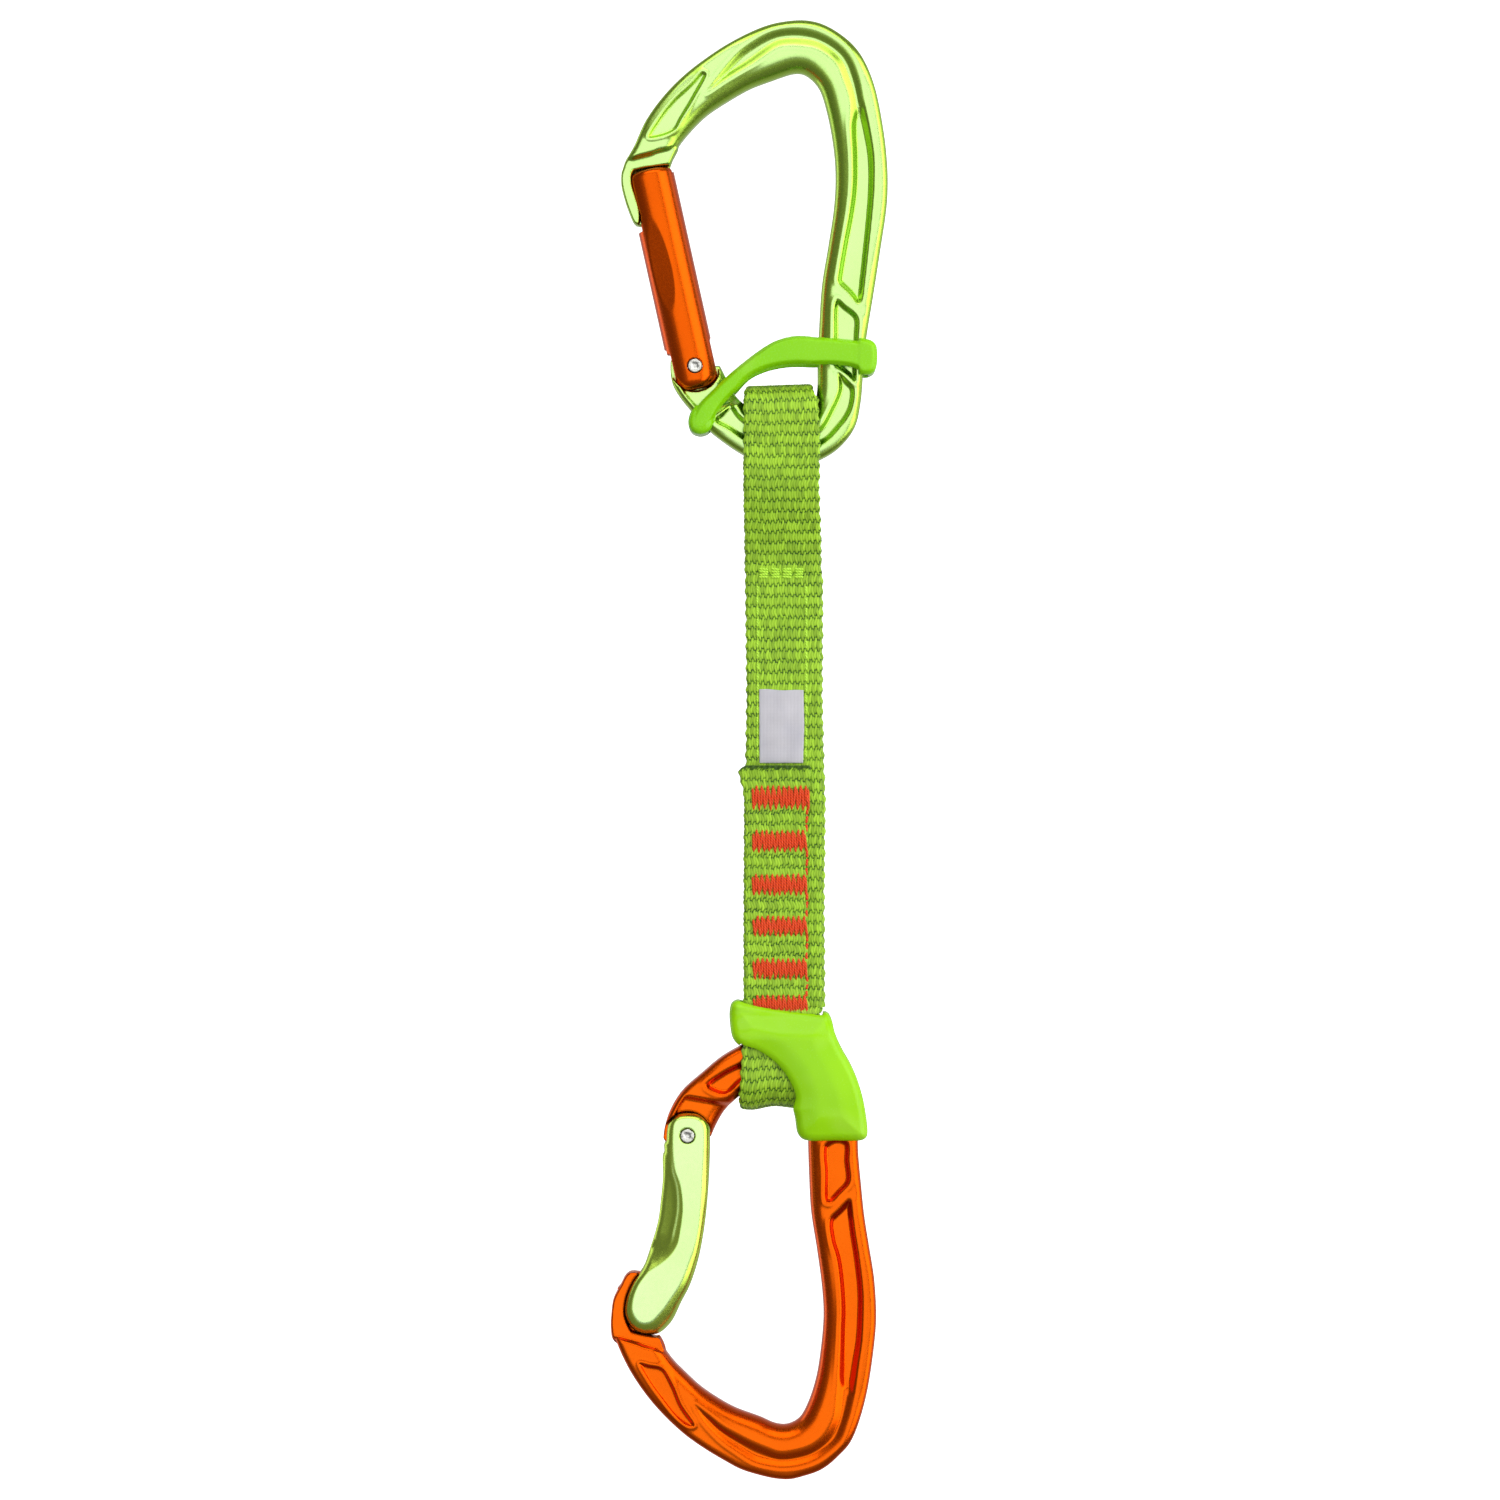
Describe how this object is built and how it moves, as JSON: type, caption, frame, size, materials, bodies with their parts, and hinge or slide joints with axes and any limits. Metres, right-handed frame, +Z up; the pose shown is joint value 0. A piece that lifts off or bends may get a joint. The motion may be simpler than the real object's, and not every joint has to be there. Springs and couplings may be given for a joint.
{
  "type": "climbing quickdraw",
  "caption": "Pair of keylock snap-hooks joined by a stitched flat sling; one clips to an anchor above, the other takes a rope below, and each has a spring gate.",
  "frame": {"origin": "flat seat at the top of the upper hook's basket, in the middle of its thickness", "axes": "+Z up along the hanging quickdraw, Y through the hooks' thickness (front is -Y), X across the hooks, spine side +X and gate side -X"},
  "size_m": [0.0647, 0.0188, 0.3407],
  "materials": {
    "green_metal": "light green anodised forging, satin",
    "orange_metal": "orange anodised, satin",
    "rivet_steel": "plain peened steel",
    "spring_steel": "drawn wire",
    "band_rubber": "moulded green rubber, matt",
    "boot_rubber": "moulded yellow-green rubber, matt",
    "nylon_tape": "woven apple-green tape",
    "lime_thread": "sewing thread",
    "red_thread": "orange-red sewing thread",
    "label_cloth": "pale blank cloth"
  },
  "bodies": {
    "upper_carabiner": {"upper_body": "green_metal", "upper_keeper_band": "band_rubber"},
    "upper_gate_arm": {"upper_gate": "orange_metal", "upper_gate_rivet": "rivet_steel", "upper_gate_spring": "spring_steel"},
    "upper_plunger": {"upper_gate_plunger": "rivet_steel"},
    "upper_eye": {"webbing_upper_eye": "nylon_tape"},
    "sling": {"webbing_back_run": "nylon_tape", "webbing_front_run": "nylon_tape", "webbing_front_flap": "nylon_tape", "tack_top": "lime_thread", "seam_left": "lime_thread", "seam_right": "lime_thread", "label": "label_cloth", "bartack_1": "red_thread", "bartack_2": "red_thread", "bartack_3": "red_thread", "bartack_4": "red_thread", "bartack_5": "red_thread", "bartack_6": "red_thread"},
    "lower_carabiner": {"lower_body": "orange_metal", "lower_keeper_boot": "boot_rubber", "webbing_lower_eye": "nylon_tape"},
    "lower_gate_arm": {"lower_gate": "green_metal", "lower_gate_rivet": "rivet_steel", "lower_gate_spring": "spring_steel"},
    "lower_plunger": {"lower_gate_plunger": "rivet_steel"}
  },
  "joints": [
    {"name": "upper_gate_hinge", "type": "hinge", "parent": "upper_carabiner", "child": "upper_gate_arm", "pos_m": [-0.02387, 0, -0.06863], "axis": [0, 1, 0], "range_deg": [0, 32], "stiffness_Nm_per_rad": 0.04, "springref_deg": -57.3},
    {"name": "upper_plunger_slide", "type": "slide", "parent": "upper_gate_arm", "child": "upper_plunger", "axis": [-0.2164, 0, 0.9763], "range_m": [0, 0.0008], "deforming": ["upper_gate_spring"]},
    {"name": "sling_rock", "type": "hinge", "parent": "upper_carabiner", "child": "upper_eye", "pos_m": [-0.0034, 0, -0.08], "axis": [0, 1, 0], "range_deg": [-10, 10], "deforming": ["webbing_upper_eye"]},
    {"name": "sling_swing", "type": "hinge", "parent": "upper_eye", "child": "sling", "pos_m": [-0.0034, 0, -0.08], "axis": [1, 0, 0], "range_deg": [-80, 80], "deforming": ["webbing_upper_eye"]},
    {"name": "lower_flex", "type": "hinge", "parent": "sling", "child": "lower_carabiner", "pos_m": [-0.0034, 0, -0.2351], "axis": [1, 0, 0], "range_deg": [-45, 45], "deforming": ["webbing_lower_eye", "lower_keeper_boot"]},
    {"name": "lower_gate_hinge", "type": "hinge", "parent": "lower_carabiner", "child": "lower_gate_arm", "pos_m": [-0.02562, 0, -0.2483], "axis": [0, -1, 0], "range_deg": [0, 32], "stiffness_Nm_per_rad": 0.04, "springref_deg": -57.3},
    {"name": "lower_plunger_slide", "type": "slide", "parent": "lower_gate_arm", "child": "lower_plunger", "axis": [0, 0, -1], "range_m": [0, 0.0008], "deforming": ["lower_gate_spring"]}
  ],
  "couplings": [
    {"joint": "upper_plunger_slide", "follows": "upper_gate_hinge", "m_per_rad": 0.0013},
    {"joint": "lower_plunger_slide", "follows": "lower_gate_hinge", "m_per_rad": 0.0013}
  ]
}
